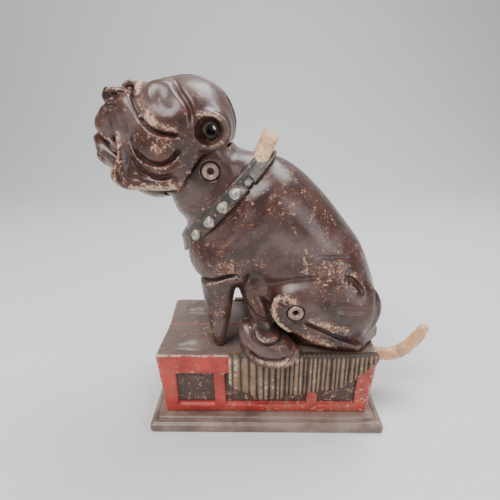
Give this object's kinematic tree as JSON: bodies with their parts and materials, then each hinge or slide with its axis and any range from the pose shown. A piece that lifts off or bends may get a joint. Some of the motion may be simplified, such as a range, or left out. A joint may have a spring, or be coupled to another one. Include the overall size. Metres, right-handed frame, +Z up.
{
  "type": "cast iron mechanical coin bank",
  "caption": "Cast iron coin bank: a seated bulldog on a panelled plinth; lifting its tail tips the head back and opens the mouth for a coin.",
  "frame": {"origin": "centre of the base plate's underside, on the surface that the bank stands on", "axes": "+Z up; the dog faces -X and its tail leaves towards +X; -Y is the dog's left side"},
  "size_m": [0.1892, 0.0774, 0.1901],
  "materials": {
    "dog_paint": "dark brown gloss paint, speckled and worn through to cream and bare iron on the high spots",
    "plinth_paint": "red paint with dark brown panels, chipped on the edges",
    "plate_paint": "aged brown paint, rubbed to tan on the edges",
    "rug_paint": "worn gold-brown bronze paint, darker in the grooves",
    "tan_paint": "worn cream and tan paint",
    "collar_paint": "dull grey-green paint",
    "eye_glass": "dark glossy glass",
    "stud_metal": "dull silver paint",
    "rivet_metal": "tarnished bare metal",
    "bare_steel": "oiled steel"
  },
  "bodies": {
    "bank": {"base_plate": "plate_paint", "plinth_left": "plinth_paint", "plinth_right": "plinth_paint", "body_left": "dog_paint", "body_right": "dog_paint", "lower_jaw": "dog_paint", "collar": "collar_paint", "collar_studs": "stud_metal", "collar_buckle": "tan_paint", "neck_rivet": "rivet_metal", "knee_rivet": "rivet_metal", "return_spring": "bare_steel", "base_screws": "bare_steel", "figure_screws": "bare_steel"},
    "head": {"head_left": "dog_paint", "head_right": "dog_paint", "head_rivet": "rivet_metal", "eye_left": "eye_glass", "eye_right": "eye_glass", "head_link_pin": "rivet_metal"},
    "lever": {"tail_lever": "tan_paint"},
    "link": {"link_strap": "bare_steel", "lever_link_pin": "rivet_metal"},
    "trap": {"coin_trap": "plate_paint"}
  },
  "joints": [
    {"name": "head_tilt", "type": "hinge", "parent": "bank", "child": "head", "pos_m": [-0.0277, 0, 0.1452], "axis": [0, 1, 0], "range_deg": [0, 20]},
    {"name": "tail_lift", "type": "hinge", "parent": "bank", "child": "lever", "pos_m": [0.015, 0, 0.074], "axis": [0, -1, 0], "range_deg": [0, 8.6], "stiffness_Nm_per_rad": 0.25, "springref_deg": -8.59, "deforming": ["return_spring"]},
    {"name": "link_swing", "type": "hinge", "parent": "lever", "child": "link", "pos_m": [0.009, 0, 0.108], "axis": [0, 1, 0], "range_deg": [0, 9.9]},
    {"name": "trap_turn", "type": "hinge", "parent": "bank", "child": "trap", "pos_m": [-0.024, 0, 0.005], "axis": [0, 0, 1], "range_deg": [0, 90]}
  ],
  "couplings": [
    {"joint": "tail_lift", "follows": "head_tilt", "ratio": 0.4255},
    {"joint": "link_swing", "follows": "head_tilt", "ratio": 0.4897}
  ]
}
